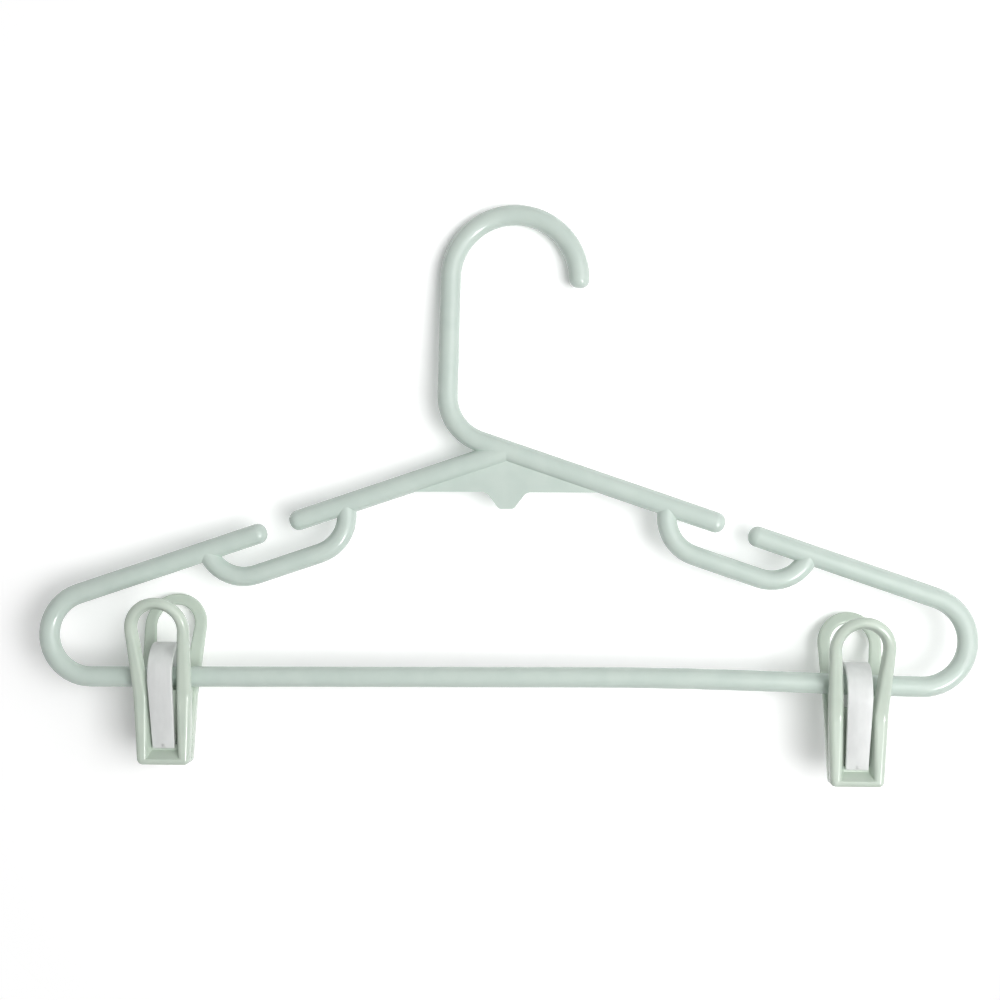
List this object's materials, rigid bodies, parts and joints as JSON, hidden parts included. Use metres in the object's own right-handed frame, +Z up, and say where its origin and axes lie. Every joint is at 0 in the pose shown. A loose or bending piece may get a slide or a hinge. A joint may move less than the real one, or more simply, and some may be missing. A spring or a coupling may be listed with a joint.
{
  "type": "skirt hanger",
  "caption": "Moulded plastic skirt hanger: a rod frame with hook, strap slots and bottom bar, and sprung clips that slide along the bar and open.",
  "frame": {"origin": "centre of the hook's arc, where a rail carries the hanger", "axes": "+X along the bottom bar, to the right seen from the front; +Y from front to back, along the rail; +Z up"},
  "size_m": [0.4018, 0.0506, 0.2468],
  "materials": {
    "mint_plastic": "satin moulded polypropylene",
    "white_spring": "slightly translucent moulded acetal"
  },
  "bodies": {
    "frame": {"hanger_frame": "mint_plastic"},
    "left_clip": {"left_clip_spring": "white_spring"},
    "left_front_jaw": {"left_clip_front_jaw": "mint_plastic"},
    "left_rear_jaw": {"left_clip_rear_jaw": "mint_plastic"},
    "right_clip": {"right_clip_spring": "white_spring"},
    "right_front_jaw": {"right_clip_front_jaw": "mint_plastic"},
    "right_rear_jaw": {"right_clip_rear_jaw": "mint_plastic"}
  },
  "joints": [
    {"name": "left_clip_slide", "type": "slide", "parent": "frame", "child": "left_clip", "axis": [1, 0, 0], "range_m": [-0.015, 0.131]},
    {"name": "left_front_jaw_hinge", "type": "hinge", "parent": "left_clip", "child": "left_front_jaw", "pos_m": [-0.14945, 0, -0.17902], "axis": [-1, 0, 0], "range_deg": [0, 12], "stiffness_Nm_per_rad": 0.35, "springref_deg": -22.92, "deforming": ["left_clip_spring"]},
    {"name": "left_rear_jaw_hinge", "type": "hinge", "parent": "left_clip", "child": "left_rear_jaw", "pos_m": [-0.14945, 0, -0.17902], "axis": [1, 0, 0], "range_deg": [0, 12], "stiffness_Nm_per_rad": 0.35, "springref_deg": -22.92, "deforming": ["left_clip_spring"]},
    {"name": "right_clip_slide", "type": "slide", "parent": "frame", "child": "right_clip", "axis": [-1, 0, 0], "range_m": [-0.014, 0.133]},
    {"name": "right_front_jaw_hinge", "type": "hinge", "parent": "right_clip", "child": "right_front_jaw", "pos_m": [0.1454, 0, -0.18494], "axis": [-1, 0, 0], "range_deg": [0, 12], "stiffness_Nm_per_rad": 0.35, "springref_deg": -22.92, "deforming": ["right_clip_spring"]},
    {"name": "right_rear_jaw_hinge", "type": "hinge", "parent": "right_clip", "child": "right_rear_jaw", "pos_m": [0.1454, 0, -0.18494], "axis": [1, 0, 0], "range_deg": [0, 12], "stiffness_Nm_per_rad": 0.35, "springref_deg": -22.92, "deforming": ["right_clip_spring"]}
  ],
  "couplings": [
    {"joint": "left_rear_jaw_hinge", "follows": "left_front_jaw_hinge", "ratio": 1},
    {"joint": "right_rear_jaw_hinge", "follows": "right_front_jaw_hinge", "ratio": 1}
  ]
}
